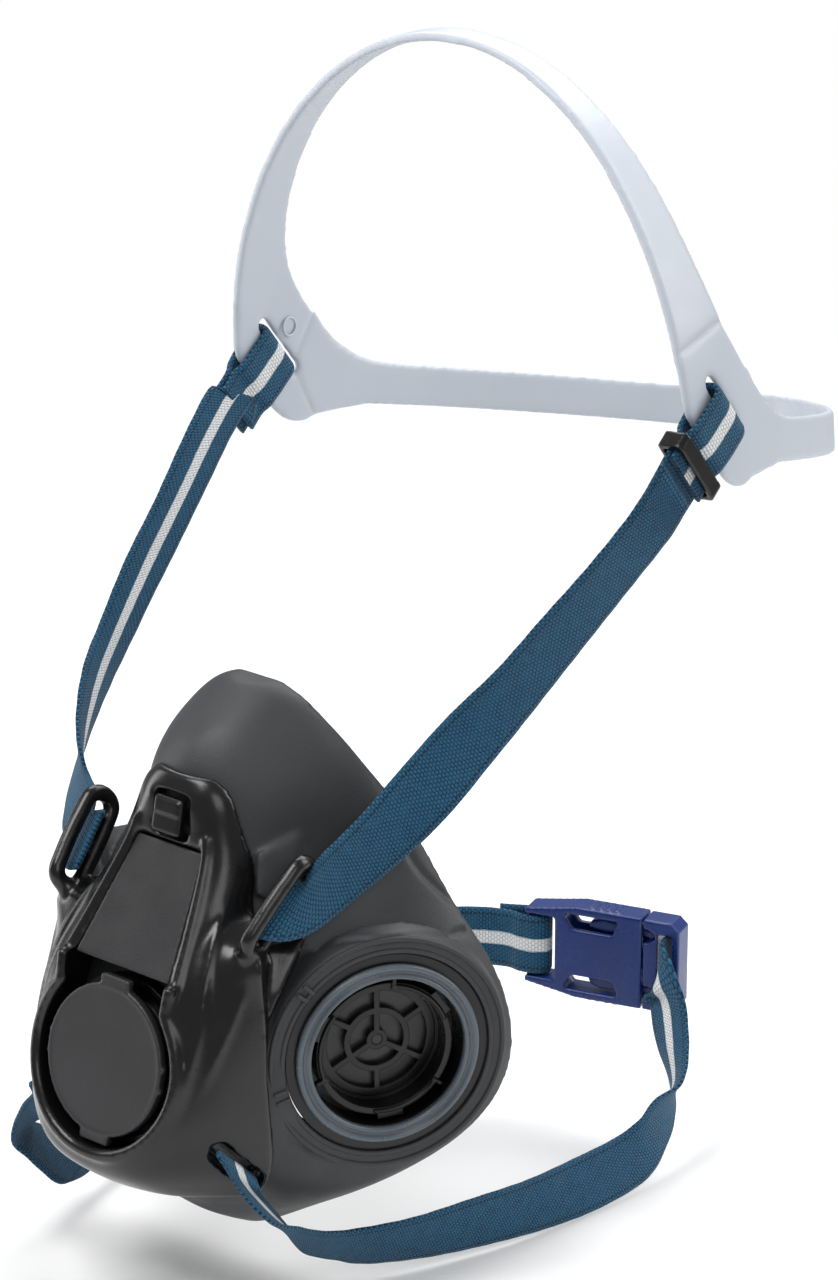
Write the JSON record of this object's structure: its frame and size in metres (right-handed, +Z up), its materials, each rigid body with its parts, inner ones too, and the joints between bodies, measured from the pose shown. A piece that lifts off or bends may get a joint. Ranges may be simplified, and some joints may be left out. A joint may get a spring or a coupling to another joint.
{
  "type": "respirator",
  "caption": "Half-mask respirator: moulded face cup with bayonet filter ports, exhalation valve, elastic head harness with a ring-shaped head cradle and a neck buckle.",
  "frame": {"origin": "middle of the face opening, where the wearer's face seals against the cup", "axes": "+Z up, -Y out of the front of the mask, +X towards the wearer's left"},
  "size_m": [0.1394, 0.2454, 0.2691],
  "materials": {
    "elastomer_dark_grey": "matte",
    "nylon_black": "satin",
    "silicone_blue_grey": "satin",
    "silicone_valve": "satin",
    "webbing_teal": "woven",
    "plastic_pale_grey": "satin translucent",
    "plastic_royal_blue": "satin"
  },
  "bodies": {
    "mask": {"face_cup": "elastomer_dark_grey", "yoke": "nylon_black", "label_plate": "nylon_black", "exhale_housing": "nylon_black", "exhale_cover": "nylon_black", "port_body_left": "nylon_black", "port_body_right": "nylon_black", "port_gasket_left": "silicone_blue_grey", "port_gasket_right": "silicone_blue_grey", "port_grille_left": "nylon_black", "port_grille_right": "nylon_black", "port_clamp_ring_left": "nylon_black", "port_clamp_ring_right": "nylon_black", "lower_strap_right": "webbing_teal", "buckle_female": "plastic_royal_blue"},
    "harness": {"cradle": "plastic_pale_grey", "upper_strap_left": "webbing_teal", "upper_strap_right": "webbing_teal"},
    "slider": {"strap_slider": "nylon_black"},
    "latch": {"latch_button": "nylon_black"},
    "exhale_flap": {"exhale_valve": "silicone_valve"},
    "inhale_flap_left": {"inhale_valve_left": "silicone_valve"},
    "inhale_flap_right": {"inhale_valve_right": "silicone_valve"},
    "buckle_plug": {"buckle_male": "plastic_royal_blue", "lower_strap_left": "webbing_teal"},
    "prong_upper": {"buckle_prong_upper": "plastic_royal_blue"},
    "prong_lower": {"buckle_prong_lower": "plastic_royal_blue"}
  },
  "joints": [
    {"name": "harness_swing", "type": "hinge", "parent": "mask", "child": "harness", "pos_m": [0, -0.0452, 0.0212], "axis": [1, 0, 0], "range_deg": [-15, 10], "deforming": ["upper_strap_left", "upper_strap_right"]},
    {"name": "slider_run", "type": "slide", "parent": "harness", "child": "slider", "axis": [0.0711, -0.798, -0.5985], "range_m": [0, 0.004]},
    {"name": "latch_press", "type": "slide", "parent": "mask", "child": "latch", "axis": [0, 0.9798, -0.2], "range_m": [0, 0.0015], "stiffness_N_per_m": 800},
    {"name": "exhale_flap_lift", "type": "slide", "parent": "mask", "child": "exhale_flap", "axis": [0, -0.9748, 0.2233], "range_m": [0, 0.0015], "stiffness_N_per_m": 60},
    {"name": "inhale_flap_left_lift", "type": "slide", "parent": "mask", "child": "inhale_flap_left", "axis": [-0.866, 0.5, 0], "range_m": [0, 0.0012], "stiffness_N_per_m": 60},
    {"name": "inhale_flap_right_lift", "type": "slide", "parent": "mask", "child": "inhale_flap_right", "axis": [0.866, 0.5, 0], "range_m": [0, 0.0012], "stiffness_N_per_m": 60},
    {"name": "buckle_pull", "type": "slide", "parent": "mask", "child": "buckle_plug", "axis": [0.9553, 0.2957, 0], "range_m": [0, 0.02], "deforming": ["lower_strap_left"]},
    {"name": "prong_upper_squeeze", "type": "hinge", "parent": "buckle_plug", "child": "prong_upper", "pos_m": [0.025, 0.09188, -0.0311], "axis": [0.2957, -0.9553, 0], "range_deg": [0, 5], "stiffness_Nm_per_rad": 0.3},
    {"name": "prong_lower_squeeze", "type": "hinge", "parent": "buckle_plug", "child": "prong_lower", "pos_m": [0.025, 0.09188, -0.0459], "axis": [0.2957, -0.9553, 0], "range_deg": [-5, 0], "stiffness_Nm_per_rad": 0.3}
  ]
}
